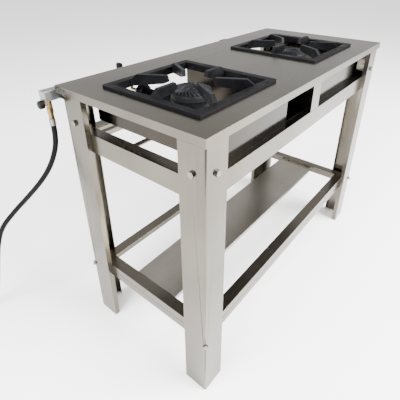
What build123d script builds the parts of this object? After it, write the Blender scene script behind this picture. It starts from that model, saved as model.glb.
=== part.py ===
from build123d import *
from math import cos, pi, radians, sin, sqrt, tan
import os

os.makedirs("parts", exist_ok=True)

# A two-burner propane stand in folded stainless sheet. Millimetres, +Z up, the valves on the +Y side.

# Top: a flat sheet with turned-down edges and two square openings.
top_length = 1000.0
top_depth = 466.0
top_height = 746.0
top_sheet = 1.5
top_lip = 19.0
left_inset = 61.0
right_inset = 118.0
front_inset = 64.0

# Grates: square cast rims that lie on the top, each with six fingers.
grate_size = 300.0
grate_overlap = 8.0
rim_width = 20.0
rim_height = 6.0
rim_corner = 6.0
skirt_gap = 1.0
skirt_depth = 13.0
finger_count = 6
finger_width = 10.0
finger_rise = 13.5
finger_shoulder = 16.0
finger_tip_radius = 54.0
finger_tip_slope = 4.5
finger_tip_drop = 1.0
finger_root_drop = 16.0
finger_belly = 14.0

# Legs: folded angles with a return lip on both free edges.
leg_face = 68.0
leg_sheet = 2.0
leg_lip = 15.0
leg_bend = 1.0
right_overhang = 27.0
back_overhang = 30.0

# Two mitred frames of folded rail, set back behind the leg faces by the leg's lip.
rail_sheet = 2.0
rail_width = 32.0
rail_lip = 16.0
upper_frame_drop = 107.0
upper_frame_height = 50.0
lower_frame_top = 209.0
lower_frame_height = 45.0

# Lower corner joints: a plate across each frame corner, pulled to the leg by one diagonal bolt.
gusset_reach = 32.0
gusset_sheet = 3.0
gusset_height = 36.0
bolt_radius = 4.0
bolt_hole_clearance = 0.2
bolt_head_flats = 13.0
bolt_head_height = 5.3
bolt_tail = 3.0
nut_height = 6.5

# Angles inside the legs that carry the top, each held by two bolts.
corner_bracket_arm = 60.0
corner_bracket_sheet = 2.0
corner_bracket_tab = 38.0
corner_bracket_gap = 1.5
face_bolt_inset = 33.0
face_bolt_drop = 82.0

# Upright sheets under the top.
plate_sheet = 1.5
front_plate_inset = 35.0
side_plate_reach = 163.0
hanging_plate_height = 78.5
hanging_plate_back = 158.0
divider_width = 49.0
divider_from_middle = 5.5
rivet_radius = 2.0
rivet_head_radius = 3.5
rivet_head_height = 1.5
rivet_spacing = 24.0

# Burner bars and the storage shelf.
bar_width = 16.0
bar_thickness = 4.0
bar_drop = 5.0
front_bar_offset = 36.0
back_bar_offset = 156.0
shelf_sheet = 1.5
shelf_drop = 9.0
shelf_width = 148.0
shelf_front_gap = 132.0
shelf_lip = 10.0
shelf_notch = 9.0
tab_sheet = 2.0
tab_length = 30.0
tab_reach = 28.0
tab_inset = 26.0

# Burners: a bowl with a mixing tube behind it, and a slotted crown that lifts off.
crown_radius = 52.5
crown_height = 24.0
crown_drop = 8.0
crown_hole_radius = 13.0
crown_slots = 30
crown_slot_width = 2.0
crown_slot_depth = 6.0
crown_spigot_height = 4.0
crown_clearance = 0.15
bowl_wall = 4.0
bowl_depth = 55.0
bowl_floor_radius = 14.0
mixing_tube_radius = 14.0
mixing_tube_bore = 10.0
mixing_tube_drop = 25.0
mouth_from_centre = 182.0
mouth_radius = 22.0
mouth_length = 15.0
mouth_plate = 3.0
window_radius = 3.5
window_circle = 12.0
window_count = 4
burner_foot_width = 20.0
burner_bolt_radius = 3.0
burner_bolt_grip = 12.0
burner_bolt_head_flats = 10.0
burner_bolt_head_height = 4.0
shutter_thickness = 2.0
shutter_radius = 21.0
shutter_play = 0.2
shutter_bore_clearance = 0.05
injector_radius = 6.0
injector_flats = 16.0
injector_hex_length = 11.0
injector_nose = 5.0
injector_tail = 8.0
injector_jet = 1.5

# Gas manifold behind the top, with a valve for each burner.
manifold_size = 25.0
manifold_wall = 2.0
manifold_gap = 3.0
manifold_drop = 12.0
manifold_left_overhang = 28.5
manifold_right_inset = 30.0
cap_thickness = 2.0
manifold_bracket_width = 40.0
manifold_bracket_sheet = 2.0
manifold_bracket_height = 35.0
manifold_bolt_drop = 56.0
valve_offset = 30.0
valve_radius = 9.0
valve_length = 12.0
valve_spigot_radius = 5.0
valve_outlet_radius = 6.0
valve_outlet_drop = 15.5
gas_bore = 2.5
stem_radius = 4.0
stem_clearance = 0.05
stem_play = 0.2
stem_seat = 3.0
stem_in_knob = 15.8
knob_hub_radius = 10.0
knob_hub_length = 6.8
knob_length = 21.8
knob_bar_length = 41.0
knob_bar_width = 12.0
pipe_radius = 4.0
pipe_bend = 10.0
pipe_first_run = 20.0

# Gas inlet under the manifold's left end: a tap, a swivel nut and the crimped hose.
inlet_offset = 15.0
inlet_radius = 7.0
inlet_spigot_radius = 5.0
inlet_body_length = 19.0
inlet_hex_flats = 15.0
inlet_hex_length = 14.0
inlet_nipple_radius = 4.5
inlet_nipple_length = 12.0
inlet_bore = 2.5
tap_boss_radius = 6.0
tap_boss_reach = 14.3
tap_drop = 7.0
tap_knob_radius = 10.5
tap_knob_length = 11.5
tap_knob_rim = 2.0
tap_stem_radius = 3.0
tap_stem_length = 9.0
hose_nut_flats = 13.0
hose_nut_length = 14.0
hose_neck_radius = 4.0
hose_neck_length = 4.0
ferrule_radius = 7.8
ferrule_length = 18.0
hose_radius = 7.0
connector_flats = 19.0
connector_hex_length = 14.0
connector_nose_radius = 7.0
connector_nose_length = 9.0

# The stand's own corners and levels, measured from the middle of the top and from the floor.
top_rect = (-top_length / 2, top_length / 2, -top_depth / 2, top_depth / 2)
leg_rect = (top_rect[0], top_rect[1] - right_overhang, top_rect[2], top_rect[3] - back_overhang)
leg_height = top_height - top_lip
under_top = top_height - top_sheet
burner_y = top_rect[2] + front_inset + grate_size / 2
burner_xs = {
    "left": top_rect[0] + left_inset + grate_size / 2,
    "right": top_rect[1] - right_inset - grate_size / 2,
}
opening_half = grate_size / 2 - grate_overlap
openings_rect = (
    burner_xs["left"] - opening_half,
    burner_xs["right"] + opening_half,
    burner_y - opening_half,
    burner_y + opening_half,
)
upper_frame_top = top_height - upper_frame_drop
frame_levels = {
    "upper": (upper_frame_top - upper_frame_height, upper_frame_top),
    "lower": (lower_frame_top - lower_frame_height, lower_frame_top),
}
manifold_bottom = top_height - manifold_drop - manifold_size
manifold_y = (top_rect[3] + manifold_gap, top_rect[3] + manifold_gap + manifold_size)
manifold_x = (top_rect[0] - manifold_left_overhang, top_rect[1] - manifold_right_inset)

# The origin stands under the middle of everything but the hose: from the inlet tap's knob to the
# top's right edge, and from the front corner bolts' heads to the valve knobs.
corner_seat = (leg_bend + leg_sheet) * (sqrt(2) - 1)
left_reach = inlet_offset + tap_boss_reach + stem_play + tap_knob_length
front_reach = (bolt_head_height + bolt_head_flats / 2 - corner_seat) / sqrt(2)
back_reach = manifold_gap + manifold_size + valve_length + stem_play + knob_length
table_x = left_reach / 2
table_y = (front_reach - back_reach) / 2


def level(z):
    """A level plane at height z, in the table's own x and y."""
    return Plane(origin=(table_x, table_y, z), x_dir=(1, 0, 0), z_dir=(0, 0, 1))


def facing_front(y):
    """An upright plane along the table at depth y: across is x and up is z."""
    return Plane(origin=(table_x, table_y + y, 0), x_dir=(1, 0, 0), z_dir=(0, -1, 0))


def facing_right(x):
    """An upright plane across the table at x: across is y and up is z."""
    return Plane(origin=(table_x + x, table_y, 0), x_dir=(0, 1, 0), z_dir=(1, 0, 0))


def prism(plane, points, amount, mode=Mode.ADD):
    with BuildSketch(plane) as outline:
        with BuildLine():
            Polyline(*points, close=True)
        make_face()
    extrude(outline.sketch, amount=amount, mode=mode)


def block(x, y, z, mode=Mode.ADD):
    """A box between pairs of x, y and z values."""
    middle = (table_x + sum(x) / 2, table_y + sum(y) / 2, sum(z) / 2)
    with Locations(middle):
        Box(abs(x[1] - x[0]), abs(y[1] - y[0]), abs(z[1] - z[0]), mode=mode)


def rod_x(y, z, start, end, radius, mode=Mode.ADD):
    with BuildSketch(facing_right(start)) as outline:
        with Locations((y, z)):
            Circle(radius)
    extrude(outline.sketch, amount=end - start, mode=mode)


def rod_y(x, z, start, end, radius, mode=Mode.ADD):
    with BuildSketch(facing_front(start)) as outline:
        with Locations((x, z)):
            Circle(radius)
    extrude(outline.sketch, amount=start - end, mode=mode)


def rod_z(x, y, start, end, radius, mode=Mode.ADD):
    with BuildSketch(level(start)) as outline:
        with Locations((x, y)):
            Circle(radius)
    extrude(outline.sketch, amount=end - start, mode=mode)


def hexagon(plane, centre, flats, amount):
    with BuildSketch(plane) as outline:
        with Locations(centre):
            RegularPolygon(flats / 2, 6, major_radius=False)
    extrude(outline.sketch, amount=amount)


def save(piece, name):
    piece.part.label = name
    export_step(piece.part, f"parts/{name}.step")


def inset(rect, distance):
    """A plan rectangle (left, right, front, back) moved inwards on all four sides."""
    left, right, front, back = rect
    return (left + distance, right - distance, front + distance, back - distance)


def side_band(side, outer, inner):
    """The mitred strip between two plan rectangles on one side."""
    left, right, front, back = outer
    in_left, in_right, in_front, in_back = inner
    bands = {
        "front": [(left, front), (right, front), (in_right, in_front), (in_left, in_front)],
        "back": [(left, back), (in_left, in_back), (in_right, in_back), (right, back)],
        "left": [(left, front), (in_left, in_front), (in_left, in_back), (left, back)],
        "right": [(right, front), (right, back), (in_right, in_back), (in_right, in_front)],
    }
    return bands[side]


# Each leg corner: its plan point and the inward directions along x and y.
corners = {
    "front_left": (leg_rect[0], leg_rect[2], 1, 1),
    "front_right": (leg_rect[1], leg_rect[2], -1, 1),
    "back_left": (leg_rect[0], leg_rect[3], 1, -1),
    "back_right": (leg_rect[1], leg_rect[3], -1, -1),
}


def from_corner(corner, along_x, along_y):
    x, y, x_in, y_in = corner
    return (x + x_in * along_x, y + y_in * along_y)


def diagonal_plane(corner, z, depth):
    """An upright plane square to the corner's diagonal, at a depth inwards from the sharp corner."""
    _, _, x_in, y_in = corner
    x, y = from_corner(corner, depth / sqrt(2), depth / sqrt(2))
    return Plane(origin=(table_x + x, table_y + y, z), x_dir=(0, 0, 1), z_dir=(x_in, y_in, 0))


def diagonal_hole(corner, z, depth):
    with BuildSketch(diagonal_plane(corner, z, 0)) as outline:
        Circle(bolt_radius + bolt_hole_clearance)
    extrude(outline.sketch, amount=depth, mode=Mode.SUBTRACT)


def folded_angle(corner, points, start, height, outer_bend):
    """An upright angle whose first corner is bent round; points are measured in from the leg's corner."""
    bend_point = from_corner(corner, *points[0])
    with BuildSketch(level(start)) as outline:
        with BuildLine():
            Polyline(*[from_corner(corner, *point) for point in points], close=True)
        make_face()
        fillet(outline.vertices().sort_by_distance(bend_point)[0], outer_bend)
    extrude(outline.sketch, amount=height)


corner_bolt_level = sum(frame_levels["lower"]) / 2
face_bolt_level = top_height - face_bolt_drop
manifold_bolt_level = top_height - manifold_bolt_drop


def face_holes(corner, faces_back):
    """Holes for the bolts through both faces of a leg and of its inner angle."""
    x, y, x_in, y_in = corner
    radius = bolt_radius + bolt_hole_clearance
    depth = leg_sheet + corner_bracket_sheet + 1
    hole_x, hole_y = from_corner(corner, face_bolt_inset, face_bolt_inset)
    rod_x(hole_y, face_bolt_level, x, x + x_in * depth, radius, Mode.SUBTRACT)
    levels = [face_bolt_level, manifold_bolt_level] if faces_back else [face_bolt_level]
    for z in levels:
        rod_y(hole_x, z, y, y + y_in * depth, radius, Mode.SUBTRACT)


# --- Top ---------------------------------------------------------------------------------------
for side in ("front", "back", "left", "right"):
    with BuildPart() as top_border:
        prism(level(under_top), side_band(side, top_rect, openings_rect), top_sheet)
        lip_band = side_band(side, top_rect, inset(top_rect, top_sheet))
        prism(level(leg_height), lip_band, under_top - leg_height)
    save(top_border, f"top_border_{side}")

with BuildPart() as top_centre_panel:
    block(
        (burner_xs["left"] + opening_half, burner_xs["right"] - opening_half),
        openings_rect[2:],
        (under_top, top_height),
    )
save(top_centre_panel, "top_centre_panel")

# --- Legs --------------------------------------------------------------------------------------
leg_outline = [
    (0, 0),
    (leg_face, 0),
    (leg_face, leg_lip),
    (leg_face - leg_sheet, leg_lip),
    (leg_face - leg_sheet, leg_sheet),
    (leg_sheet, leg_sheet),
    (leg_sheet, leg_face - leg_sheet),
    (leg_lip, leg_face - leg_sheet),
    (leg_lip, leg_face),
    (0, leg_face),
]
for name, corner in corners.items():
    with BuildPart() as leg:
        folded_angle(corner, leg_outline, 0, leg_height, leg_bend + leg_sheet)
        diagonal_hole(corner, corner_bolt_level, leg_lip)
        face_holes(corner, "back" in name)
    save(leg, f"leg_{name}")

# --- Frames ------------------------------------------------------------------------------------
frame_rect = inset(leg_rect, leg_lip)
rail_inner_rect = inset(frame_rect, rail_width)
divider_x = (
    divider_from_middle - divider_width / 2,
    divider_from_middle + divider_width / 2,
)
divider_y = (frame_rect[2], frame_rect[2] + rail_width)
rivet_xs = (divider_from_middle - rivet_spacing / 2, divider_from_middle + rivet_spacing / 2)
rivet_y = sum(divider_y) / 2
for frame_name, (bottom, top) in frame_levels.items():
    for side in ("front", "back", "left", "right"):
        with BuildPart() as rail:
            web = side_band(side, frame_rect, inset(frame_rect, rail_sheet))
            flange = side_band(side, frame_rect, rail_inner_rect)
            lip = side_band(side, inset(frame_rect, rail_width - rail_sheet), rail_inner_rect)
            prism(level(bottom), web, top - bottom)
            prism(level(top - rail_sheet), flange, rail_sheet)
            prism(level(top - rail_lip), lip, rail_lip)
            for name, corner in corners.items():
                if side in name and frame_name == "lower":
                    diagonal_hole(corner, corner_bolt_level, leg_lip * 2)
            if (frame_name, side) == ("upper", "front"):
                for x in rivet_xs:
                    rod_z(x, rivet_y, top - rail_sheet, top, rivet_radius, Mode.SUBTRACT)
        save(rail, f"{frame_name}_rail_{side}")

# --- Corner joints -----------------------------------------------------------------------------
gusset_near = leg_lip + rail_sheet
gusset_far = gusset_near + gusset_reach
gusset_step = gusset_sheet * sqrt(2)
gusset_depth = (gusset_near + gusset_far) / sqrt(2)
gusset_outline = [
    (gusset_near, gusset_far),
    (gusset_far, gusset_near),
    (gusset_far + gusset_step, gusset_near),
    (gusset_near, gusset_far + gusset_step),
]
with BuildPart() as frame_gussets:
    for corner in corners.values():
        points = [from_corner(corner, *point) for point in gusset_outline]
        prism(level(corner_bolt_level - gusset_height / 2), points, gusset_height)
        diagonal_hole(corner, corner_bolt_level, gusset_depth + 2 * gusset_sheet)
save(frame_gussets, "frame_gussets")

nut_depth = gusset_depth + gusset_sheet
with BuildPart() as corner_bolts:
    for corner in corners.values():
        seat = diagonal_plane(corner, corner_bolt_level, corner_seat)
        hexagon(seat, (0, 0), bolt_head_flats, -bolt_head_height)
        with BuildSketch(seat) as shank:
            Circle(bolt_radius)
        extrude(shank.sketch, amount=nut_depth + nut_height + bolt_tail - corner_seat)
save(corner_bolts, "corner_bolts")

with BuildPart() as corner_nuts:
    for corner in corners.values():
        seat = diagonal_plane(corner, corner_bolt_level, nut_depth)
        hexagon(seat, (0, 0), bolt_head_flats, nut_height)
        with BuildSketch(seat) as thread:
            Circle(bolt_radius)
        extrude(thread.sketch, amount=nut_height, mode=Mode.SUBTRACT)
save(corner_nuts, "corner_nuts")

bracket_bottom = upper_frame_top + corner_bracket_gap
bracket_near = leg_sheet
bracket_far = bracket_near + corner_bracket_sheet
bracket_end = bracket_near + corner_bracket_arm
bracket_outline = [
    (bracket_near, bracket_near),
    (bracket_end, bracket_near),
    (bracket_end, bracket_far),
    (bracket_far, bracket_far),
    (bracket_far, bracket_end),
    (bracket_near, bracket_end),
]
with BuildPart() as corner_brackets:
    for name, corner in corners.items():
        bend = leg_bend + leg_sheet
        folded_angle(corner, bracket_outline, bracket_bottom, under_top - bracket_bottom, bend)
        tab_start = from_corner(corner, bracket_far, bracket_far)
        tab_end = from_corner(corner, bracket_near + corner_bracket_tab, bracket_near + corner_bracket_tab)
        tab_levels = (under_top - corner_bracket_sheet, under_top)
        block((tab_start[0], tab_end[0]), (tab_start[1], tab_end[1]), tab_levels)
        face_holes(corner, "back" in name)
save(corner_brackets, "corner_brackets")

face_nut_depth = leg_sheet + corner_bracket_sheet
face_bolt_end = face_nut_depth + nut_height + bolt_tail / 2
with BuildPart() as face_bolts:
    for name, corner in corners.items():
        x, y, x_in, y_in = corner
        hole_x, hole_y = from_corner(corner, face_bolt_inset, face_bolt_inset)
        hexagon(facing_right(x), (hole_y, face_bolt_level), bolt_head_flats, -x_in * bolt_head_height)
        rod_x(hole_y, face_bolt_level, x, x + x_in * face_bolt_end, bolt_radius)
        seats = {face_bolt_level: 0}
        if "back" in name:
            seats[manifold_bolt_level] = manifold_bracket_sheet
        for z, proud in seats.items():
            seat = y - y_in * proud
            hexagon(facing_front(seat), (hole_x, z), bolt_head_flats, y_in * bolt_head_height)
            rod_y(hole_x, z, seat, y + y_in * face_bolt_end, bolt_radius)
save(face_bolts, "face_bolts")

with BuildPart() as face_nuts:
    for name, corner in corners.items():
        x, y, x_in, y_in = corner
        hole_x, hole_y = from_corner(corner, face_bolt_inset, face_bolt_inset)
        start, end = x + x_in * face_nut_depth, x + x_in * (face_nut_depth + nut_height)
        hexagon(facing_right(start), (hole_y, face_bolt_level), bolt_head_flats, end - start)
        rod_x(hole_y, face_bolt_level, start, end, bolt_radius, Mode.SUBTRACT)
        start, end = y + y_in * face_nut_depth, y + y_in * (face_nut_depth + nut_height)
        levels = [face_bolt_level, manifold_bolt_level] if "back" in name else [face_bolt_level]
        for z in levels:
            hexagon(facing_front(start), (hole_x, z), bolt_head_flats, start - end)
            rod_y(hole_x, z, start, end, bolt_radius, Mode.SUBTRACT)
save(face_nuts, "face_nuts")

# --- Sheets under the top ----------------------------------------------------------------------
front_plate_y = (top_rect[2] + front_plate_inset, top_rect[2] + front_plate_inset + plate_sheet)
hanging_y = (front_plate_y[1], burner_y + hanging_plate_back)
hanging_z = (under_top - hanging_plate_height, under_top)
outer_xs = {
    "left": burner_xs["left"] - side_plate_reach,
    "right": burner_xs["right"] + side_plate_reach,
}
inner_xs = {
    "left": burner_xs["left"] + side_plate_reach,
    "right": burner_xs["right"] - side_plate_reach,
}
for side in ("left", "right"):
    with BuildPart() as front_plate:
        block((outer_xs[side], inner_xs[side]), front_plate_y, (upper_frame_top, under_top))
    save(front_plate, f"front_plate_{side}")

    inward = 1 if side == "left" else -1
    with BuildPart() as end_plate:
        block((outer_xs[side], outer_xs[side] + inward * plate_sheet), hanging_y, hanging_z)
    save(end_plate, f"end_plate_{side}")

floor_levels = (upper_frame_top, upper_frame_top + plate_sheet)
centre_plate_z = (floor_levels[1], under_top)
with BuildPart() as centre_plates:
    block((inner_xs["left"] - plate_sheet, inner_xs["left"]), hanging_y, centre_plate_z)
    block((inner_xs["right"], inner_xs["right"] + plate_sheet), hanging_y, centre_plate_z)
save(centre_plates, "centre_plates")

with BuildPart() as centre_floor:
    centre_floor_x = (inner_xs["left"] - plate_sheet, inner_xs["right"] + plate_sheet)
    block(centre_floor_x, hanging_y, floor_levels)
    block(divider_x, divider_y, floor_levels, Mode.SUBTRACT)
save(centre_floor, "centre_floor")

with BuildPart() as window_divider:
    divider_z = (upper_frame_top, under_top)
    block(divider_x, (divider_y[0], divider_y[0] + plate_sheet), divider_z)
    block((divider_x[0], divider_x[0] + plate_sheet), divider_y, divider_z)
    block((divider_x[1] - plate_sheet, divider_x[1]), divider_y, divider_z)
    block(divider_x, divider_y, floor_levels)
    for x in rivet_xs:
        rod_z(x, rivet_y, *divider_z, rivet_radius, Mode.SUBTRACT)
save(window_divider, "window_divider")

with BuildPart() as divider_rivets:
    for x in rivet_xs:
        foot_top = upper_frame_top + plate_sheet
        flange_under = upper_frame_top - rail_sheet
        rod_z(x, rivet_y, flange_under, foot_top, rivet_radius)
        rod_z(x, rivet_y, foot_top, foot_top + rivet_head_height, rivet_head_radius)
        rod_z(x, rivet_y, flange_under, flange_under - rivet_head_height, rivet_head_radius)
save(divider_rivets, "divider_rivets")

# --- Burner bars -------------------------------------------------------------------------------
bar_top = upper_frame_top - bar_drop
bar_levels = (bar_top - bar_thickness, bar_top)
bar_ys = {"front": burner_y + front_bar_offset, "back": burner_y + back_bar_offset}
for name, bar_y in bar_ys.items():
    with BuildPart() as burner_bar:
        block(rail_inner_rect[:2], (bar_y - bar_width / 2, bar_y + bar_width / 2), bar_levels)
        for x in burner_xs.values():
            radius = burner_bolt_radius + bolt_hole_clearance
            rod_z(x, bar_y, *bar_levels, radius, Mode.SUBTRACT)
    save(burner_bar, f"burner_bar_{name}")

# --- Storage shelf -----------------------------------------------------------------------------
shelf_top = lower_frame_top - shelf_drop
shelf_x = (rail_inner_rect[0] + tab_sheet, rail_inner_rect[1] - tab_sheet)
shelf_y = (frame_rect[2] + shelf_front_gap, frame_rect[2] + shelf_front_gap + shelf_width)
with BuildPart() as shelf:
    block(shelf_x, shelf_y, (shelf_top - shelf_sheet, shelf_top))
    block(shelf_x, (shelf_y[0], shelf_y[0] + shelf_sheet), (shelf_top - shelf_lip, shelf_top))
    block(shelf_x, (shelf_y[1] - shelf_sheet, shelf_y[1]), (shelf_top - shelf_lip, shelf_top))
    block(
        (shelf_x[1] - shelf_notch, shelf_x[1]),
        (shelf_y[0], shelf_y[0] + shelf_notch),
        (shelf_top - shelf_lip, shelf_top),
        Mode.SUBTRACT,
    )
save(shelf, "shelf")

with BuildPart() as shelf_tabs:
    tab_top = lower_frame_top - rail_sheet
    tab_levels = (shelf_top - shelf_sheet - tab_sheet, shelf_top - shelf_sheet)
    for tab_y in (shelf_y[0] + tab_inset, shelf_y[1] - tab_inset):
        tab_ys = (tab_y - tab_length / 2, tab_y + tab_length / 2)
        for rail_x, inward in ((rail_inner_rect[0], 1), (rail_inner_rect[1], -1)):
            block((rail_x, rail_x + inward * tab_sheet), tab_ys, (tab_levels[0], tab_top))
            block((rail_x, rail_x + inward * tab_reach), tab_ys, tab_levels)
save(shelf_tabs, "shelf_tabs")

# --- Burners -----------------------------------------------------------------------------------
crown_top = top_height - crown_drop
bowl_top = crown_top - crown_height
bowl_floor = bowl_top - bowl_depth
bowl_radius = crown_radius - 0.5
mixing_z = bowl_top - mixing_tube_drop
mouth_y = burner_y + mouth_from_centre
shutter_y = (mouth_y + shutter_play, mouth_y + shutter_play + shutter_thickness)
injector_y = shutter_y[1] + shutter_play


def bowl_outline(x, shrink):
    """Half of the bowl's section, drawn from its axis at x; shrink gives the inner face."""
    return [
        (x, bowl_floor + shrink),
        (x + bowl_floor_radius - shrink / 2, bowl_floor + shrink),
        (x + bowl_radius * 0.62 - shrink / 2, bowl_floor + bowl_depth * 0.22 + shrink),
        (x + bowl_radius - 2 - shrink, bowl_top - bowl_depth * 0.27),
        (x + bowl_radius - shrink, bowl_top),
        (x, bowl_top),
    ]


def turn_bowl(x, shrink, mode):
    with BuildSketch(facing_front(burner_y)) as half:
        with BuildLine():
            Polyline(*bowl_outline(x, shrink), close=True)
        make_face()
    spindle = Axis((table_x + x, table_y + burner_y, 0), (0, 0, 1))
    revolve(half.sketch, axis=spindle, mode=mode)


def air_windows(x, start, end):
    for index in range(window_count):
        angle = radians(360 / window_count * (index + 0.5))
        window_x = x + window_circle * cos(angle)
        window_z = mixing_z + window_circle * sin(angle)
        rod_y(window_x, window_z, start, end, window_radius, Mode.SUBTRACT)


for side, x in burner_xs.items():
    with BuildPart() as burner_bowl:
        turn_bowl(x, 0, Mode.ADD)
        rod_y(x, mixing_z, burner_y + mixing_tube_radius, mouth_y, mixing_tube_radius)
        rod_y(x, mixing_z, mouth_y - mouth_length, mouth_y, mouth_radius)
        foot_x = (x - burner_foot_width / 2, x + burner_foot_width / 2)
        for bar_y in bar_ys.values():
            foot_y = (bar_y - bar_width / 2, bar_y + bar_width / 2)
            block(foot_x, foot_y, (bar_top, mixing_z - mixing_tube_bore + 2))
        turn_bowl(x, bowl_wall, Mode.SUBTRACT)
        rod_y(x, mixing_z, burner_y, mouth_y - mouth_plate, mixing_tube_bore, Mode.SUBTRACT)
        mouth_start = mouth_y - mouth_length + mouth_plate
        mouth_bore = mouth_radius - bowl_wall
        rod_y(x, mixing_z, mouth_start, mouth_y - mouth_plate, mouth_bore, Mode.SUBTRACT)
        rod_y(x, mixing_z, mouth_y - mouth_plate, mouth_y, injector_radius, Mode.SUBTRACT)
        air_windows(x, mouth_y - mouth_plate, mouth_y)
        for bar_y in bar_ys.values():
            rod_z(x, bar_y, bar_top, bar_top + burner_bolt_grip, burner_bolt_radius, Mode.SUBTRACT)
    save(burner_bowl, f"burner_bowl_{side}")

    with BuildPart() as burner_crown:
        spigot_radius = bowl_radius - bowl_wall - crown_clearance
        rod_z(x, burner_y, bowl_top, crown_top, crown_radius)
        rod_z(x, burner_y, bowl_top - crown_spigot_height, bowl_top, spigot_radius - 1)
        chamfer(burner_crown.faces().sort_by(Axis.Z)[-1].edges(), 3)
        rod_z(x, burner_y, bowl_top - crown_spigot_height, crown_top, crown_hole_radius, Mode.SUBTRACT)
        hollow_radius = spigot_radius - 1 - bowl_wall
        hollow_top = crown_top - crown_slot_depth - bowl_wall
        rod_z(x, burner_y, bowl_top - crown_spigot_height, hollow_top, hollow_radius, Mode.SUBTRACT)
        crown_axis = (table_x + x, table_y + burner_y, crown_top - crown_slot_depth / 2)
        with Locations(crown_axis):
            with PolarLocations((crown_radius + crown_hole_radius) / 2 + 6, crown_slots):
                Box(22, crown_slot_width, crown_slot_depth, mode=Mode.SUBTRACT)
    save(burner_crown, f"burner_crown_{side}")

    with BuildPart() as air_shutter:
        rod_y(x, mixing_z, *shutter_y, shutter_radius)
        shutter_bore = injector_radius + shutter_bore_clearance
        rod_y(x, mixing_z, *shutter_y, shutter_bore, Mode.SUBTRACT)
        air_windows(x, *shutter_y)
    save(air_shutter, f"air_shutter_{side}")

pipe_start_y = injector_y + injector_hex_length + injector_tail
with BuildPart() as injectors:
    for x in burner_xs.values():
        rod_y(x, mixing_z, mouth_y - injector_nose, injector_y, injector_radius)
        hexagon(facing_front(injector_y), (x, mixing_z), injector_flats, -injector_hex_length)
        rod_y(x, mixing_z, injector_y + injector_hex_length, pipe_start_y, injector_radius)
        rod_y(x, mixing_z, mouth_y - injector_nose, pipe_start_y, injector_jet, Mode.SUBTRACT)
save(injectors, "injectors")

with BuildPart() as burner_bolts:
    for x in burner_xs.values():
        for bar_y in bar_ys.values():
            rod_z(x, bar_y, bar_levels[0], bar_top + burner_bolt_grip, burner_bolt_radius)
            head = level(bar_levels[0])
            hexagon(head, (x, bar_y), burner_bolt_head_flats, -burner_bolt_head_height)
save(burner_bolts, "burner_bolts")

# --- Grates ------------------------------------------------------------------------------------
rim_top = top_height + rim_height
grate_hole = grate_size - 2 * rim_width
finger_top = rim_top + finger_rise


def finger_outline(root):
    """A finger's side: it rises from the rim, runs level and drops steeply at its tip."""
    return [
        (finger_tip_radius, rim_top - finger_tip_drop),
        (finger_tip_radius + finger_tip_slope, finger_top),
        (root - finger_shoulder, finger_top),
        (root + 1, rim_top),
        (root + 1, rim_top - finger_root_drop),
        (finger_tip_radius + finger_belly, rim_top - finger_belly / 2),
    ]


for side, x in burner_xs.items():
    with BuildPart() as grate:
        with BuildSketch(level(top_height)) as rim:
            with Locations((x, burner_y)):
                RectangleRounded(grate_size, grate_size, rim_corner)
                Rectangle(grate_hole, grate_hole, mode=Mode.SUBTRACT)
        extrude(rim.sketch, amount=rim_height)
        with BuildSketch(level(top_height)) as skirt:
            with Locations((x, burner_y)):
                skirt_size = 2 * (opening_half - skirt_gap)
                RectangleRounded(skirt_size, skirt_size, rim_corner)
                Rectangle(grate_hole, grate_hole, mode=Mode.SUBTRACT)
        extrude(skirt.sketch, amount=-skirt_depth)
        for index in range(finger_count):
            angle = 2 * 180 / finger_count * index
            across = max(abs(cos(radians(angle))), abs(sin(radians(angle))))
            finger_plane = Plane(
                origin=(table_x + x, table_y + burner_y, 0),
                x_dir=(cos(radians(angle)), sin(radians(angle)), 0),
                z_dir=(sin(radians(angle)), -cos(radians(angle)), 0),
            )
            with BuildSketch(finger_plane) as finger:
                with BuildLine():
                    Polyline(*finger_outline(grate_hole / 2 / across), close=True)
                make_face()
            extrude(finger.sketch, amount=finger_width / 2, both=True)
    save(grate, f"grate_{side}")

# --- Gas manifold ------------------------------------------------------------------------------
valve_xs = {side: x + valve_offset for side, x in burner_xs.items()}
valve_z = manifold_bottom + manifold_size / 2
inlet_x = top_rect[0] - inlet_offset
inlet_y = sum(manifold_y) / 2
manifold_z = (manifold_bottom, manifold_bottom + manifold_size)
tube_x = (manifold_x[0] + cap_thickness, manifold_x[1] - cap_thickness)
with BuildPart() as gas_manifold:
    block(tube_x, manifold_y, manifold_z)
    hollow_y = (manifold_y[0] + manifold_wall, manifold_y[1] - manifold_wall)
    hollow_z = (manifold_z[0] + manifold_wall, manifold_z[1] - manifold_wall)
    block(tube_x, hollow_y, hollow_z, Mode.SUBTRACT)
    for x in valve_xs.values():
        rod_y(x, valve_z, hollow_y[1], manifold_y[1], valve_spigot_radius, Mode.SUBTRACT)
    rod_z(inlet_x, inlet_y, manifold_z[0], hollow_z[0], inlet_spigot_radius, Mode.SUBTRACT)
save(gas_manifold, "gas_manifold")

with BuildPart() as manifold_caps:
    block((manifold_x[0], tube_x[0]), manifold_y, manifold_z)
    block((tube_x[1], manifold_x[1]), manifold_y, manifold_z)
save(manifold_caps, "manifold_caps")

with BuildPart() as manifold_brackets:
    for name in ("back_left", "back_right"):
        corner = corners[name]
        hole_x = from_corner(corner, face_bolt_inset, 0)[0]
        bracket_x = (hole_x - manifold_bracket_width / 2, hole_x + manifold_bracket_width / 2)
        leg_back = leg_rect[3]
        upright_y = (leg_back, leg_back + manifold_bracket_sheet)
        upright_z = (manifold_bottom - manifold_bracket_height, manifold_bottom)
        block(bracket_x, upright_y, upright_z)
        seat_z = (manifold_bottom - manifold_bracket_sheet, manifold_bottom)
        block(bracket_x, (leg_back, manifold_y[1]), seat_z)
        hole_radius = bolt_radius + bolt_hole_clearance
        rod_y(hole_x, manifold_bolt_level, *upright_y, hole_radius, Mode.SUBTRACT)
save(manifold_brackets, "manifold_brackets")

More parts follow.
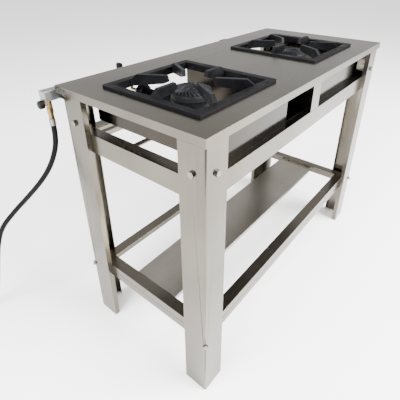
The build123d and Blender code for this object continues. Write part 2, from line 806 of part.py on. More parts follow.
# --- Burner valves -----------------------------------------------------------------------------
valve_end = manifold_y[1] + valve_length
outlet_y = manifold_y[1] + valve_outlet_radius
outlet_z = valve_z - valve_outlet_drop
with BuildPart() as valve_bodies:
    for x in valve_xs.values():
        rod_y(x, valve_z, manifold_y[1] - manifold_wall, manifold_y[1], valve_spigot_radius)
        rod_y(x, valve_z, manifold_y[1], valve_end, valve_radius)
        rod_z(x, outlet_y, outlet_z, valve_z, valve_outlet_radius)
        stem_bore = stem_radius + stem_clearance
        rod_y(x, valve_z, manifold_y[1] + stem_seat, valve_end, stem_bore, Mode.SUBTRACT)
        bore_end = manifold_y[1] + stem_seat
        rod_y(x, valve_z, manifold_y[1] - manifold_wall, bore_end, gas_bore, Mode.SUBTRACT)
        rod_z(x, outlet_y, outlet_z, valve_z, gas_bore, Mode.SUBTRACT)
save(valve_bodies, "valve_bodies")

knob_y = (valve_end + stem_play, valve_end + stem_play + knob_length)
stem_end = knob_y[0] + stem_in_knob
for side, x in valve_xs.items():
    with BuildPart() as valve_stem:
        rod_y(x, valve_z, manifold_y[1] + stem_seat + stem_play, stem_end, stem_radius)
    save(valve_stem, f"valve_stem_{side}")

    # The left valve's bar stands upright (open), the right one's lies level (shut).
    bar_angle = 90 if side == "left" else 0
    with BuildPart() as valve_knob:
        rod_y(x, valve_z, knob_y[0], knob_y[0] + knob_hub_length, knob_hub_radius)
        with BuildSketch(facing_front(knob_y[0] + knob_hub_length)) as bar:
            with Locations((x, valve_z)):
                SlotOverall(knob_bar_length, knob_bar_width, rotation=bar_angle)
        extrude(bar.sketch, amount=knob_hub_length - knob_length)
        rod_y(x, valve_z, knob_y[0], stem_end, stem_radius, Mode.SUBTRACT)
    save(valve_knob, f"valve_knob_{side}")

with BuildPart() as gas_pipes:
    for side in ("left", "right"):
        burner_x, valve_x = burner_xs[side], valve_xs[side]
        turn_y = pipe_start_y + pipe_first_run
        with BuildLine() as route:
            FilletPolyline(
                (table_x + valve_x, table_y + outlet_y, outlet_z),
                (table_x + valve_x, table_y + outlet_y, mixing_z),
                (table_x + valve_x, table_y + turn_y + valve_offset, mixing_z),
                (table_x + burner_x, table_y + turn_y, mixing_z),
                (table_x + burner_x, table_y + pipe_start_y, mixing_z),
                radius=pipe_bend,
            )
        with BuildSketch(Plane(origin=route.line @ 0, z_dir=route.line % 0)) as section:
            Circle(pipe_radius)
            Circle(gas_bore, mode=Mode.SUBTRACT)
        sweep(section.sketch, path=route.line)
save(gas_pipes, "gas_pipes")

# --- Gas inlet ---------------------------------------------------------------------------------
tap_z = manifold_bottom - tap_drop
body_bottom = manifold_bottom - inlet_body_length
hex_bottom = body_bottom - inlet_hex_length
nipple_bottom = hex_bottom - inlet_nipple_length
boss_x = inlet_x - tap_boss_reach
tap_knob_x = boss_x - stem_play
stem_tip_x = tap_knob_x + tap_stem_length
with BuildPart() as inlet_fitting:
    rod_z(inlet_x, inlet_y, manifold_bottom, manifold_bottom + manifold_wall, inlet_spigot_radius)
    rod_z(inlet_x, inlet_y, body_bottom, manifold_bottom, inlet_radius)
    rod_x(inlet_y, tap_z, boss_x, inlet_x, tap_boss_radius)
    hexagon(level(body_bottom), (inlet_x, inlet_y), inlet_hex_flats, -inlet_hex_length)
    rod_z(inlet_x, inlet_y, nipple_bottom, hex_bottom, inlet_nipple_radius)
    inlet_top = manifold_bottom + manifold_wall
    rod_z(inlet_x, inlet_y, nipple_bottom, inlet_top, inlet_bore, Mode.SUBTRACT)
    tap_bore = tap_stem_radius + stem_clearance
    rod_x(inlet_y, tap_z, boss_x, stem_tip_x + stem_play, tap_bore, Mode.SUBTRACT)
save(inlet_fitting, "inlet_fitting")

with BuildPart() as inlet_tap_knob:
    rod_x(inlet_y, tap_z, tap_knob_x - tap_knob_length, tap_knob_x, tap_knob_radius)
    chamfer(inlet_tap_knob.faces().sort_by(Axis.X)[0].edges(), tap_knob_rim)
    rod_x(inlet_y, tap_z, tap_knob_x, stem_tip_x, tap_stem_radius)
save(inlet_tap_knob, "inlet_tap_knob")

neck_bottom = nipple_bottom - hose_neck_length
nut_bottom = nipple_bottom - hose_neck_length / 2
with BuildPart() as hose_nut:
    nut_top = nut_bottom + hose_nut_length - stem_play
    nut_length = nut_top - nut_bottom
    hexagon(level(nut_bottom), (inlet_x, inlet_y), hose_nut_flats, nut_length)
    rod_z(inlet_x, inlet_y, nipple_bottom, nut_top, inlet_nipple_radius, Mode.SUBTRACT)
    rod_z(inlet_x, inlet_y, nut_bottom, nipple_bottom, hose_neck_radius, Mode.SUBTRACT)
save(hose_nut, "hose_nut")

# --- Hose --------------------------------------------------------------------------------------
# The route is measured from the middle of the top; it leaves the ferrule straight down, swings out
# behind the left end, falls to the floor and ends in part of a loop there.
hose_start = (inlet_x, inlet_y, neck_bottom - ferrule_length)
hose_route = [
    hose_start,
    (*hose_start[:2], 601),
    (-528, 260, 549),
    (-544.5, 280, 503),
    (-567.6, 310, 457),
    (-591, 345, 413),
    (-623, 378, 367),
    (-657, 408, 316),
    (-675, 424, 255),
    (-687, 437, 193),
    (-698, 448, 130),
    (-711, 460, 70),
    (-739, 477, 36),
    (-789, 490, 15),
    (-850, 493, 7.8),
    (-911, 471, 7.5),
    (-943, 415, 7.5),
    (-935, 351, 8),
    (-895, 303, 11.5),
]
hose_points = [Vector(table_x + x, table_y + y, z) for x, y, z in hose_route]
runs = [end - start for start, end in zip(hose_points, hose_points[1:])]
bend_radii = []
for before, after in zip(runs, runs[1:]):
    half_turn = radians(before.get_angle(after)) / 2
    bend_radii.append(0.45 * min(before.length, after.length) / tan(half_turn))
print("hose bend radii", [round(radius) for radius in bend_radii])
print("hose runs", [round(run.length) for run in runs])

with BuildPart() as hose:
    with BuildLine() as hose_line:
        FilletPolyline(*hose_points, radius=bend_radii)
    with BuildSketch(Plane(origin=hose_line.line @ 0, z_dir=hose_line.line % 0)):
        Circle(hose_radius)
    sweep()
save(hose, "hose")
hose_length = hose_line.wires()[0].length
print("hose length", round(hose_length, 1))
print("hose volume share", round(hose.part.volume / (pi * hose_radius**2 * hose_length), 4))
print("hose lowest point", round(hose.part.bounding_box().min.Z, 2))

tail_direction = hose_line.line % 1
tail_across = Vector(tail_direction.Y, -tail_direction.X, 0)


def on_tail(distance):
    """A plane square to the hose's free end, so far beyond it."""
    place = (hose_line.line @ 1) + tail_direction * distance
    return Plane(origin=place, x_dir=tail_across, z_dir=tail_direction)


def tail_rod(start, length, radius):
    with BuildSketch(on_tail(start)) as outline:
        Circle(radius)
    extrude(outline.sketch, amount=length)


with BuildPart() as hose_ferrules:
    rod_z(inlet_x, inlet_y, hose_start[2], neck_bottom, ferrule_radius)
    rod_z(inlet_x, inlet_y, neck_bottom, nipple_bottom, hose_neck_radius)
    tail_rod(0, ferrule_length, ferrule_radius - 0.5)
save(hose_ferrules, "hose_ferrules")

with BuildPart() as hose_connector:
    tail_rod(ferrule_length, hose_neck_length, hose_neck_radius)
    hexagon(on_tail(ferrule_length + hose_neck_length), (0, 0), connector_flats, connector_hex_length)
    nose_start = ferrule_length + hose_neck_length + connector_hex_length
    tail_rod(nose_start, connector_nose_length, connector_nose_radius)
save(hose_connector, "hose_connector")
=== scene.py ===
from math import pi, radians, tau

import bmesh
import bpy
from bpy.props import FloatProperty, FloatVectorProperty, IntProperty, PointerProperty
from bpy.types import Operator, Panel, PropertyGroup
from mathutils import Matrix, Vector


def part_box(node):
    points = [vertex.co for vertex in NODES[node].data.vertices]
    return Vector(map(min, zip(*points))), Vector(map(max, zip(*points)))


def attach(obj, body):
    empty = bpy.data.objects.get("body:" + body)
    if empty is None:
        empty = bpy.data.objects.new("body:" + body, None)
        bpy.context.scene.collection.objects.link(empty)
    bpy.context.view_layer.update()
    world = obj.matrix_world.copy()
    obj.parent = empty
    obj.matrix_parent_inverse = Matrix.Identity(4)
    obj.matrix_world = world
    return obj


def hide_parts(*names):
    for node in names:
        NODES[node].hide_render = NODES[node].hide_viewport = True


bl_info = {
    "name": "Propane Burner Stand",
    "version": (1, 0, 0),
    "blender": (4, 5, 0),
    "location": "3D View > Sidebar > Stand",
    "description": "Dresses a two-burner stainless propane stand",
    "category": "Object",
}

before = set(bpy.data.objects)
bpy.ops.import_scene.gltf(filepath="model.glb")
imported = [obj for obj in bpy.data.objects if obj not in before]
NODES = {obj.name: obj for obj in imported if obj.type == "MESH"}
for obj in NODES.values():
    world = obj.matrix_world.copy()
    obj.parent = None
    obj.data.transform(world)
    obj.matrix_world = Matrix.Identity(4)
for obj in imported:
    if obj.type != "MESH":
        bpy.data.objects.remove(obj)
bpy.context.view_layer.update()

# --- Places read from the frame ------------------------------------------------------------------
SIDES = ("left", "right")
TOP_LOW = Vector([min(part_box(f"top_border_{side}")[0][i] for side in SIDES) for i in range(3)])
TOP_HIGH = Vector([max(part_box(f"top_border_{side}")[1][i] for side in SIDES) for i in range(3)])
TOP_MIDDLE = (TOP_LOW + TOP_HIGH) / 2


# The direction of the sky that the top mirrors towards the camera
DIM_SIDE = (0.685, 0.553, 0.474)
# How much finer the brushing is across the streaks than along them
STREAK_SQUEEZE = 70.0
# Share of a crown's radius taken by its middle hole, and where its wall stands
CROWN_HOLE = 0.25
CROWN_WALL = 0.97
# The lower ferrule is this much thinner than the upper one
LOWER_FERRULE_STEP = 0.0005


# --- Sizes and colours a user can change ----------------------------------------------------------
def colour(name, description, default):
    return FloatVectorProperty(
        name=name, description=description, default=default, size=3, subtype="COLOR", min=0, max=1
    )


def length(name, description, default, **limits):
    return FloatProperty(
        name=name, description=description, default=default, unit="LENGTH", subtype="DISTANCE",
        precision=4, **limits,
    )


class StandStage(PropertyGroup):
    lens: FloatProperty(name="Lens", description="Focal length", default=32.6, unit="CAMERA")
    eye: FloatVectorProperty(
        name="Camera place",
        description="Camera, measured from the middle of the top in plan and from the floor",
        default=(-0.9269, -0.5742, 1.0188), size=3, subtype="XYZ", unit="LENGTH",
    )
    heading: FloatProperty(
        name="Heading", description="Turn from +Y towards +X", default=radians(51.1),
        subtype="ANGLE", unit="ROTATION",
    )
    tilt: FloatProperty(
        name="Tilt", description="Look down from level", default=radians(28.3),
        subtype="ANGLE", unit="ROTATION",
    )
    shift: FloatVectorProperty(
        name="Shift", description="Lens shift", default=(-0.011, -0.123), size=2, unit="NONE"
    )
    floor_colour: colour("Floor", "Floor colour", (0.95, 0.95, 0.945))
    key_power: FloatProperty(name="Key light", description="Watts", default=750, unit="POWER")
    fill_power: FloatProperty(name="Fill light", description="Watts", default=330, unit="POWER")
    sky_power: FloatProperty(name="Sky", description="World strength", default=2.2, unit="NONE")
    dim_share: FloatProperty(
        name="Dim side", description="Share of the sky's light from behind the right end",
        default=0.55, min=0, max=1, unit="NONE",
    )


class StandMetal(PropertyGroup):
    steel: colour("Stainless", "Brushed sheet colour", (0.128, 0.116, 0.096))
    # Painted light: the shelf gets a brighter copy of the stainless colour, standing in for the light it
    # catches.
    lit_shelf_steel: colour("Shelf sheet", "Brighter sheet on the shelf", (0.30, 0.28, 0.245))
    # Painted shade: the inner plates get a much darker copy of the stainless colour, standing in for the
    # shade under the top, not for polish.
    shaded_inner_steel: colour("Inner sheet", "Polished inner sheet colour", (0.030, 0.026, 0.021))
    zinc: colour("Galvanised", "Manifold tube colour", (0.34, 0.35, 0.36))
    bolt: colour("Fasteners", "Plated bolt colour", (0.20, 0.19, 0.175))
    brass: colour("Brass", "Fittings colour", (0.24, 0.165, 0.075))
    fold: length("Fold", "Rounding on sheet edges", 0.0007, min=0)
    grain: FloatProperty(
        name="Grain", description="Strength of the brushing", default=0.006, min=0, max=1, unit="NONE"
    )


class StandIron(PropertyGroup):
    iron: colour("Cast iron", "Colour between the worn edges", (0.0010, 0.0010, 0.0013))
    worn: colour("Worn edge", "Colour where the iron is rubbed", (0.008, 0.0083, 0.0095))
    ridges: IntProperty(name="Ridges", description="Curved ridges on each crown", default=30, min=3)
    ridge_width: length("Ridge width", "Width of a crown ridge", 0.0034, min=0.001)
    ridge_depth: length("Ridge depth", "Height of a crown ridge", 0.005, min=0.001)
    edge: length("Casting edge", "Rounding on cast edges", 0.0018, min=0)


class StandHose(PropertyGroup):
    radius: length("Hose radius", "Half the hose's diameter", 0.007, min=0.001)
    rubber: colour("Rubber", "Hose colour", (0.0012, 0.0012, 0.0014))
    crimps: IntProperty(name="Crimps", description="Rings pressed into each ferrule", default=4, min=1)
    ferrule: length("Ferrule", "Length of each ferrule", 0.018, min=0.005)
    ferrule_radius: length("Ferrule radius", "Radius of the upper ferrule", 0.0078, min=0.002)
    neck_radius: length("Neck radius", "Radius of the neck above the upper ferrule", 0.004, min=0.001)


# --- Materials -----------------------------------------------------------------------------------
def new_material(name):
    material = bpy.data.materials.new(name)
    material.use_nodes = True
    return material, material.node_tree.nodes, material.node_tree.links


def textured(nodes, links, kind, scale, stretch=(1, 1, 1), detail=4.0):
    """A noise or similar texture on Object coordinates, stretched along the axes."""
    place = nodes.new("ShaderNodeTexCoord")
    mapping = nodes.new("ShaderNodeMapping")
    mapping.inputs["Scale"].default_value = stretch
    texture = nodes.new(kind)
    texture.inputs["Scale"].default_value = scale
    if "Detail" in texture.inputs:
        texture.inputs["Detail"].default_value = detail
    links.new(place.outputs["Object"], mapping.inputs["Vector"])
    links.new(mapping.outputs["Vector"], texture.inputs["Vector"])
    return texture


def ramp(nodes, links, source, low, high, start=0.35, end=0.65):
    """Turns a texture's middle range into a colour range."""
    element = nodes.new("ShaderNodeValToRGB")
    element.color_ramp.elements[0].position = start
    element.color_ramp.elements[1].position = end
    element.color_ramp.elements[0].color = (*low, 1)
    element.color_ramp.elements[1].color = (*high, 1)
    links.new(source, element.inputs["Fac"])
    return element.outputs["Color"]


def span(nodes, links, source, low, high, start=0.3, end=0.7):
    """Turns a texture's middle range into a number range."""
    element = nodes.new("ShaderNodeMapRange")
    element.inputs["From Min"].default_value = start
    element.inputs["From Max"].default_value = end
    element.inputs["To Min"].default_value = low
    element.inputs["To Max"].default_value = high
    links.new(source, element.inputs["Value"])
    return element.outputs["Result"]


def multiply(nodes, links, first, second):
    mix = nodes.new("ShaderNodeMix")
    mix.data_type = "RGBA"
    mix.blend_type = "MULTIPLY"
    mix.inputs["Factor"].default_value = 1
    links.new(first, mix.inputs["A"])
    links.new(second, mix.inputs["B"])
    return mix.outputs["Result"]


def bump(nodes, links, shader, height, strength, distance):
    element = nodes.new("ShaderNodeBump")
    element.inputs["Strength"].default_value = strength
    element.inputs["Distance"].default_value = distance
    links.new(height, element.inputs["Height"])
    links.new(element.outputs["Normal"], shader.inputs["Normal"])


def shaded(tint, share):
    return tuple(channel * share for channel in tint)


def brushed_metal(name, tint, along, roughness=0.3, metallic=1.0, contrast=0.12):
    """Sheet brushed along one axis: long fine streaks, faint clouds and small scuffs."""
    material, nodes, links = new_material(name)
    shader = nodes["Principled BSDF"]
    shader.inputs["Metallic"].default_value = metallic
    grain = bpy.context.scene.stand_metal.grain
    stretch = tuple(1.0 if axis == along else STREAK_SQUEEZE for axis in "XYZ")
    streaks = textured(nodes, links, "ShaderNodeTexNoise", 4, stretch, 6)
    clouds = textured(nodes, links, "ShaderNodeTexNoise", 5, detail=3)
    scuffs = textured(nodes, links, "ShaderNodeTexNoise", 25, detail=2)
    base = ramp(nodes, links, streaks.outputs["Fac"], shaded(tint, 1 - contrast), shaded(tint, 1 + contrast))
    veil = ramp(nodes, links, clouds.outputs["Fac"], (0.80, 0.79, 0.78), (1, 1, 1))
    links.new(multiply(nodes, links, base, veil), shader.inputs["Base Color"])
    rough = span(nodes, links, streaks.outputs["Fac"], roughness - 0.008, roughness + 0.012)
    wear = span(nodes, links, scuffs.outputs["Fac"], 0.0, 0.03, 0.55, 0.75)
    total = nodes.new("ShaderNodeMath")
    total.operation = "ADD"
    links.new(rough, total.inputs[0])
    links.new(wear, total.inputs[1])
    links.new(total.outputs["Value"], shader.inputs["Roughness"])
    bump(nodes, links, shader, streaks.outputs["Fac"], grain, 0.0001)
    return material


def cast_iron(name):
    """Matt sand-cast iron with a pebbled skin and rubbed high spots."""
    material, nodes, links = new_material(name)
    iron = bpy.context.scene.stand_iron
    shader = nodes["Principled BSDF"]
    shader.inputs["Specular IOR Level"].default_value = 0.06
    skin = textured(nodes, links, "ShaderNodeTexNoise", 420, detail=5)
    patches = textured(nodes, links, "ShaderNodeTexNoise", 38, detail=4)
    geometry = nodes.new("ShaderNodeNewGeometry")
    edges = span(nodes, links, geometry.outputs["Pointiness"], 0, 1, 0.5, 0.6)
    worn = nodes.new("ShaderNodeMix")
    worn.data_type = "RGBA"
    links.new(edges, worn.inputs["Factor"])
    base = ramp(nodes, links, patches.outputs["Fac"], shaded(iron.iron, 0.75), shaded(iron.iron, 1.6))
    links.new(base, worn.inputs["A"])
    worn.inputs["B"].default_value = (*iron.worn, 1)
    links.new(worn.outputs["Result"], shader.inputs["Base Color"])
    links.new(span(nodes, links, patches.outputs["Fac"], 0.34, 0.58), shader.inputs["Roughness"])
    bump(nodes, links, shader, skin.outputs["Fac"], 0.5, 0.0006)
    return material


def moulded(name, tint, roughness, grain_scale=900):
    """Moulded plastic or rubber with a fine grain and slight colour drift."""
    material, nodes, links = new_material(name)
    shader = nodes["Principled BSDF"]
    shader.inputs["Specular IOR Level"].default_value = 0.07
    grain = textured(nodes, links, "ShaderNodeTexNoise", grain_scale, detail=2)
    drift = textured(nodes, links, "ShaderNodeTexNoise", 30, detail=3)
    base = ramp(nodes, links, drift.outputs["Fac"], shaded(tint, 0.7), shaded(tint, 1.5))
    links.new(base, shader.inputs["Base Color"])
    rough = span(nodes, links, drift.outputs["Fac"], roughness - 0.07, roughness + 0.08)
    links.new(rough, shader.inputs["Roughness"])
    bump(nodes, links, shader, grain.outputs["Fac"], 0.25, 0.0002)
    return material


# --- Pieces --------------------------------------------------------------------------------------
def wear_material(piece, material):
    piece.data.materials.clear()
    piece.data.materials.append(material)


def dress(node, material, width, segments=2):
    """Gives a frame piece its finish, and rounds its edges so that they catch the light."""
    piece = NODES[node]
    wear_material(piece, material)
    weld = piece.modifiers.new("Weld", "WELD")
    weld.merge_threshold = 0.00001
    if width > 0:
        rounding = piece.modifiers.new("Edges", "BEVEL")
        rounding.width = width
        rounding.segments = segments
        rounding.limit_method = "ANGLE"
        rounding.angle_limit = radians(35)
        rounding.harden_normals = True
    return piece


def finished(name, mesh, material, body, slot, *replaced):
    """Turns a bmesh into a named piece that rides on a body."""
    data = bpy.data.meshes.new(name)
    bmesh.ops.recalc_face_normals(mesh, faces=mesh.faces[:])
    mesh.to_mesh(data)
    mesh.free()
    for face in data.polygons:
        face.use_smooth = True
    piece = bpy.data.objects.new(name, data)
    bpy.context.scene.collection.objects.link(piece)
    wear_material(piece, material)
    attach(piece, body)
    if replaced:
        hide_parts(*replaced)
    return piece


def turned(mesh, profile, origin, axis, across, steps=48):
    """Spins a profile of (radius, distance) points about an axis through origin."""
    points = [mesh.verts.new(origin + across * radius + axis * along) for radius, along in profile]
    edges = [mesh.edges.new(pair) for pair in zip(points, points[1:])]
    bmesh.ops.spin(
        mesh, geom=points + edges, cent=origin, axis=axis, angle=tau, steps=steps, use_merge=True
    )
    bmesh.ops.remove_doubles(mesh, verts=mesh.verts[:], dist=0.000005)


class StandOperator(Operator):
    bl_options = {"REGISTER", "UNDO"}


class STAND_OT_stage(StandOperator):
    """Place the camera, the pale floor and the soft lights"""

    bl_idname = "stand.stage"
    bl_label = "Stage"

    def execute(self, context):
        stage = context.scene.stand_stage
        self.place_camera(context, stage)
        self.lay_floor(context, stage)
        self.hang_lights(context, stage)
        return {"FINISHED"}

    def place_camera(self, context, stage):
        data = bpy.data.cameras.new("Camera")
        data.lens = stage.lens
        data.sensor_width = 36
        data.shift_x, data.shift_y = stage.shift
        data.clip_end = 100
        camera = bpy.data.objects.new("Camera", data)
        context.scene.collection.objects.link(camera)
        place = Vector((TOP_MIDDLE.x, TOP_MIDDLE.y, 0)) + Vector(stage.eye)
        turn = Matrix.Rotation(-stage.heading, 4, "Z") @ Matrix.Rotation(pi / 2 - stage.tilt, 4, "X")
        camera.matrix_world = Matrix.Translation(place) @ turn
        context.scene.camera = camera

    def lay_floor(self, context, stage):
        mesh = bmesh.new()
        bmesh.ops.create_grid(mesh, x_segments=1, y_segments=1, size=14)
        data = bpy.data.meshes.new("floor")
        mesh.to_mesh(data)
        mesh.free()
        floor = bpy.data.objects.new("floor", data)
        context.scene.collection.objects.link(floor)
        material, nodes, links = new_material("pale floor")
        shader = nodes["Principled BSDF"]
        drift = textured(nodes, links, "ShaderNodeTexNoise", 3, detail=2)
        base = ramp(nodes, links, drift.outputs["Fac"], shaded(stage.floor_colour, 0.985), stage.floor_colour)
        links.new(base, shader.inputs["Base Color"])
        shader.inputs["Roughness"].default_value = 0.9
        wear_material(floor, material)

    def hang_lights(self, context, stage):
        self.add_lamp(context, "key light", (0.9, -2.6, 2.3), (0, 0, 0.5), 2.4, stage.key_power)
        self.add_lamp(context, "fill light", (-2.6, 0.2, 2.2), (0, 0, 0.4), 2.0, stage.fill_power)
        world = bpy.data.worlds.new("soft room")
        world.use_nodes = True
        context.scene.world = world
        nodes, links = world.node_tree.nodes, world.node_tree.links
        place = nodes.new("ShaderNodeTexCoord")
        split = nodes.new("ShaderNodeSeparateXYZ")
        links.new(place.outputs["Generated"], split.inputs["Vector"])
        sky = ramp(nodes, links, split.outputs["Z"], (0.80, 0.79, 0.78), (1, 1, 1), 0.0, 0.9)
        facing = nodes.new("ShaderNodeVectorMath")
        facing.operation = "DOT_PRODUCT"
        links.new(place.outputs["Generated"], facing.inputs[0])
        facing.inputs[1].default_value = DIM_SIDE
        veil = span(nodes, links, facing.outputs["Value"], 1, stage.dim_share, 0.1, 0.85)
        background = nodes["Background"]
        links.new(multiply(nodes, links, sky, veil), background.inputs["Color"])
        background.inputs["Strength"].default_value = stage.sky_power

    def add_lamp(self, context, name, place, target, size, power):
        data = bpy.data.lights.new(name, "AREA")
        data.shape = "SQUARE"
        data.size = size
        data.energy = power
        lamp = bpy.data.objects.new(name, data)
        context.scene.collection.objects.link(lamp)
        lamp.location = place
        lamp.rotation_euler = (Vector(target) - Vector(place)).to_track_quat("-Z", "Y").to_euler()


# Points of the hose from the middle of the top, in metres: down out of its ferrule, out behind the
# left end, down to the floor and round an open loop.
HOSE_ROUTE = [
    (-0.5150, 0.2485, 0.642),
    (-0.5150, 0.2485, 0.601),
    (-0.5280, 0.2600, 0.549),
    (-0.5445, 0.2800, 0.503),
    (-0.5676, 0.3100, 0.457),
    (-0.5910, 0.3450, 0.413),
    (-0.6230, 0.3780, 0.367),
    (-0.6570, 0.4080, 0.316),
    (-0.6750, 0.4240, 0.255),
    (-0.6870, 0.4370, 0.193),
    (-0.6980, 0.4480, 0.130),
    (-0.7110, 0.4600, 0.070),
    (-0.7390, 0.4770, 0.036),
    (-0.7890, 0.4900, 0.015),
    (-0.8500, 0.4930, 0.0078),
    (-0.9110, 0.4710, 0.0075),
    (-0.9430, 0.4150, 0.0075),
    (-0.9350, 0.3510, 0.0080),
    (-0.8950, 0.3030, 0.0115),
]


def ferrule_outline(hose, radius, crimps):
    """A sleeve's half section, with rounded ends and grooves pressed round it."""
    pitch = hose.ferrule / (crimps + 1)
    points = [(0, 0), (radius - 0.0008, 0), (radius, 0.0008)]
    for index in range(1, crimps + 1):
        along = pitch * index
        points += [(radius, along - pitch * 0.28), (radius - 0.0007, along - pitch * 0.16)]
        points += [(radius - 0.0007, along + pitch * 0.16), (radius, along + pitch * 0.28)]
    points += [(radius, hose.ferrule - 0.0008), (radius - 0.0008, hose.ferrule), (0, hose.ferrule)]
    return points


class STAND_OT_hose(StandOperator):
    """Run the black gas hose from its top ferrule to the connector on the floor"""

    bl_idname = "stand.hose"
    bl_label = "Hose"

    def execute(self, context):
        hose = context.scene.stand_hose
        data = bpy.data.curves.new("gas hose", "CURVE")
        data.dimensions = "3D"
        data.bevel_depth = hose.radius
        data.bevel_resolution = 6
        data.resolution_u = 12
        data.use_fill_caps = True
        line = data.splines.new("NURBS")
        line.points.add(len(HOSE_ROUTE) - 1)
        for point, place in zip(line.points, HOSE_ROUTE):
            point.co = (place[0] + TOP_MIDDLE.x, place[1] + TOP_MIDDLE.y, place[2], 1)
        line.order_u = 3
        line.use_endpoint_u = True
        piece = bpy.data.objects.new("gas hose", data)
        context.scene.collection.objects.link(piece)
        piece.name = "gas_hose"
        wear_material(piece, moulded("black rubber", hose.rubber, 0.42, 500))
        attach(piece, "stand")
        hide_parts("hose")
        ferrules = self.crimp_ferrules(hose)
        return {"FINISHED"}

    def crimp_ferrules(self, hose):
        """Sleeves pressed on both ends of the hose, the upper one with its thin neck."""
        bolt = bpy.context.scene.stand_metal.bolt
        plated = brushed_metal("pressed sleeve", bolt, "Z", 0.3, contrast=0.06)
        places = [Vector(point) + Vector((TOP_MIDDLE.x, TOP_MIDDLE.y, 0)) for point in HOSE_ROUTE]
        up = Vector((0, 0, 1))
        outward = (places[-1] - places[-2]).normalized()
        mesh = bmesh.new()
        sleeve = ferrule_outline(hose, hose.ferrule_radius, hose.crimps)
        turned(mesh, sleeve, places[0], up, Vector((1, 0, 0)))
        neck_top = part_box("hose_ferrules")[1].z - places[0].z
        neck = [(0, hose.ferrule), (hose.neck_radius, hose.ferrule)]
        neck += [(hose.neck_radius, neck_top), (0, neck_top)]
        turned(mesh, neck, places[0], up, Vector((1, 0, 0)))
        sleeve = ferrule_outline(hose, hose.ferrule_radius - LOWER_FERRULE_STEP, hose.crimps)
        turned(mesh, sleeve, places[-1], outward, outward.cross(up).normalized())
        return finished("crimped_ferrules", mesh, plated, "stand", "ferrule", "hose_ferrules")


class STAND_OT_sheet_metal(StandOperator):
    """Finish the folded stainless top, legs, frames and shelf"""

    bl_idname = "stand.sheet_metal"
    bl_label = "Sheet metal"

    def execute(self, context):
        metal = context.scene.stand_metal
        along_x = brushed_metal("stainless brushed along", metal.steel, "X", 0.25, contrast=0.03)
        along_y = brushed_metal("stainless brushed across", metal.steel, "Y", 0.25, contrast=0.03)
        along_z = brushed_metal("stainless brushed upright", metal.steel, "Z", 0.22, contrast=0.05)
        # The shelf is the same stainless painted brighter than the other sheets: painted light, not a
        # different metal.
        lit_shelf_sheet = brushed_metal("shelf sheet painted bright", metal.lit_shelf_steel, "X", 0.3, contrast=0.03)
        # Inner plates: the same stainless painted dark as painted shade under the top; the darkness is not
        # polish.
        inner = brushed_metal("inner sheet", metal.shaded_inner_steel, "X", 0.16, contrast=0.06)
        groups = {
            along_x: ["top_border_front", "top_border_back", "top_centre_panel"],
            lit_shelf_sheet: ["shelf"],
            along_y: ["top_border_left", "top_border_right", "shelf_tabs"],
            along_z: ["window_divider", "frame_gussets", "corner_brackets"],
            inner: ["front_plate_left", "front_plate_right", "centre_plates", "centre_floor"],
        }
        groups[inner] += [f"end_plate_{side}" for side in SIDES]
        for end in ("front", "back"):
            groups[along_z] += [f"leg_{end}_{side}" for side in SIDES]
            groups[along_x] += [f"{level}_rail_{end}" for level in ("upper", "lower")]
        for side in SIDES:
            groups[along_y] += [f"{level}_rail_{side}" for level in ("upper", "lower")]
        groups[along_x] += ["burner_bar_front", "burner_bar_back"]
        for material, names in groups.items():
            for name in names:
                dress(name, material, metal.fold)
        return {"FINISHED"}


class STAND_OT_castings(StandOperator):
    """Finish the cast-iron grates, burner bowls and crowns"""

    bl_idname = "stand.castings"
    bl_label = "Castings"

    def execute(self, context):
        iron = context.scene.stand_iron
        material = cast_iron("cast iron")
        for side in SIDES:
            dress(f"grate_{side}", material, iron.edge, 3)
            dress(f"burner_bowl_{side}", material, iron.edge / 2)
            self.ridged_crown(side, material, iron)
        return {"FINISHED"}

    def ridged_crown(self, side, material, iron):
        """A domed crown with a central hole and curved ridges that run out to its rim."""
        low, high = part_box(f"burner_crown_{side}")
        centre = Vector(((low.x + high.x) / 2, (low.y + high.y) / 2, 0))
        radius = (high.x - low.x) / 2
        hole, wall = radius * CROWN_HOLE, radius * CROWN_WALL
        top = high.z - iron.ridge_depth * 0.75
        shoulder = top - radius * 0.04
        mesh = bmesh.new()
        profile = [
            (hole, low.z), (hole, top - 0.002), (hole + 0.002, top), (radius * 0.55, top),
            (radius * 0.9, shoulder), (wall, shoulder - 0.003), (wall, low.z), (hole, low.z),
        ]
        turned(mesh, profile, centre, Vector((0, 0, 1)), Vector((1, 0, 0)), 60)
        for index in range(iron.ridges):
            turn = Matrix.Rotation(tau * index / iron.ridges, 4, "Z")
            place = Matrix.Translation(centre) @ turn
            self.add_ridge(mesh, place, radius, (shoulder, top, high.z), iron)
        finished(f"ridged_crown_{side}", mesh, material, f"{side}_crown", "cast_iron", f"burner_crown_{side}")

    def add_ridge(self, mesh, place, radius, levels, iron):
        """One ridge, four sections long, that leans round the crown and drops over its rim."""
        shoulder, top, peak = levels
        stations = [(0.36, 0.0, top, peak), (0.55, 0.06, top, peak), (0.78, 0.17, top, peak)]
        stations += [(0.95, 0.27, shoulder - 0.004, peak - radius * 0.04)]
        rings = []
        for reach, lean, foot, crest in stations:
            across = Matrix.Rotation(lean, 4, "Z")
            half = iron.ridge_width / 2
            corners = [(-half, foot - 0.006), (half, foot - 0.006), (half * 0.6, crest), (-half * 0.6, crest)]
            points = [place @ across @ Vector((radius * reach, y, z)) for y, z in corners]
            ring = [mesh.verts.new(point) for point in points]
            rings.append([mesh.edges.new((a, b)) for a, b in zip(ring, ring[1:] + ring[:1])])
        for near, far in zip(rings, rings[1:]):
            bmesh.ops.bridge_loops(mesh, edges=near + far)
        for ends in (rings[0], rings[-1]):
            bmesh.ops.edgeloop_fill(mesh, edges=ends)


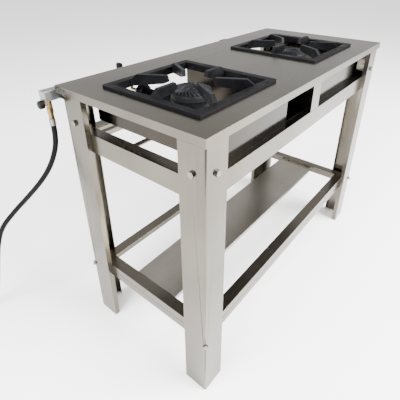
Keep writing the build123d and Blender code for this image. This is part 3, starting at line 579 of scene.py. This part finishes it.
class STAND_OT_gas_line(StandOperator):
    """Finish the manifold, the valves, the pipes and the inlet"""

    bl_idname = "stand.gas_line"
    bl_label = "Gas line"

    def execute(self, context):
        metal = context.scene.stand_metal
        tube = brushed_metal("galvanised tube", metal.zinc, "X", 0.38, contrast=0.1)
        brass = brushed_metal("turned brass", metal.brass, "Z", 0.26, contrast=0.1)
        plated = brushed_metal("plated steel", metal.bolt, "Z", 0.24, contrast=0.06)
        black = moulded("black moulding", (0.0015, 0.0015, 0.0015), 0.38)
        for name in ("gas_manifold", "manifold_caps", "manifold_brackets"):
            dress(name, tube, metal.fold)
        brass_names = ("valve_bodies", "gas_pipes", "injectors")
        brass_names += ("inlet_fitting", "hose_nut", "hose_connector")
        for name in brass_names:
            dress(name, brass, metal.fold)
        fasteners = ("corner_bolts", "corner_nuts", "face_bolts", "face_nuts")
        fasteners += ("burner_bolts", "divider_rivets")
        for name in fasteners:
            dress(name, plated, metal.fold)
        for side in SIDES:
            dress(f"valve_stem_{side}", plated, metal.fold)
            dress(f"air_shutter_{side}", plated, metal.fold / 2)
            dress(f"valve_knob_{side}", black, 0.0015, 3)
        dress("inlet_tap_knob", black, 0.0008)
        return {"FINISHED"}


class STAND_PT_panel(Panel):
    bl_idname = "STAND_PT_panel"
    bl_label = "Burner stand"
    bl_space_type = "VIEW_3D"
    bl_region_type = "UI"
    bl_category = "Stand"

    def draw(self, context):
        for operator in OPERATORS:
            self.layout.operator(operator.bl_idname)


OPERATORS = (
    STAND_OT_stage,
    STAND_OT_hose,
    STAND_OT_sheet_metal,
    STAND_OT_castings,
    STAND_OT_gas_line,
)
SETTINGS = {
    "stand_stage": StandStage,
    "stand_metal": StandMetal,
    "stand_iron": StandIron,
    "stand_hose": StandHose,
}


def register():
    for name, group in SETTINGS.items():
        bpy.utils.register_class(group)
        setattr(bpy.types.Scene, name, PointerProperty(type=group))
    for operator in OPERATORS:
        bpy.utils.register_class(operator)
    bpy.utils.register_class(STAND_PT_panel)


def unregister():
    bpy.utils.unregister_class(STAND_PT_panel)
    for operator in reversed(OPERATORS):
        bpy.utils.unregister_class(operator)
    for name, group in SETTINGS.items():
        delattr(bpy.types.Scene, name)
        bpy.utils.unregister_class(group)


def main():
    register()
    for operator in OPERATORS:
        group, name = operator.bl_idname.split(".")
        getattr(getattr(bpy.ops, group), name)()


if __name__ == "__main__":
    main()
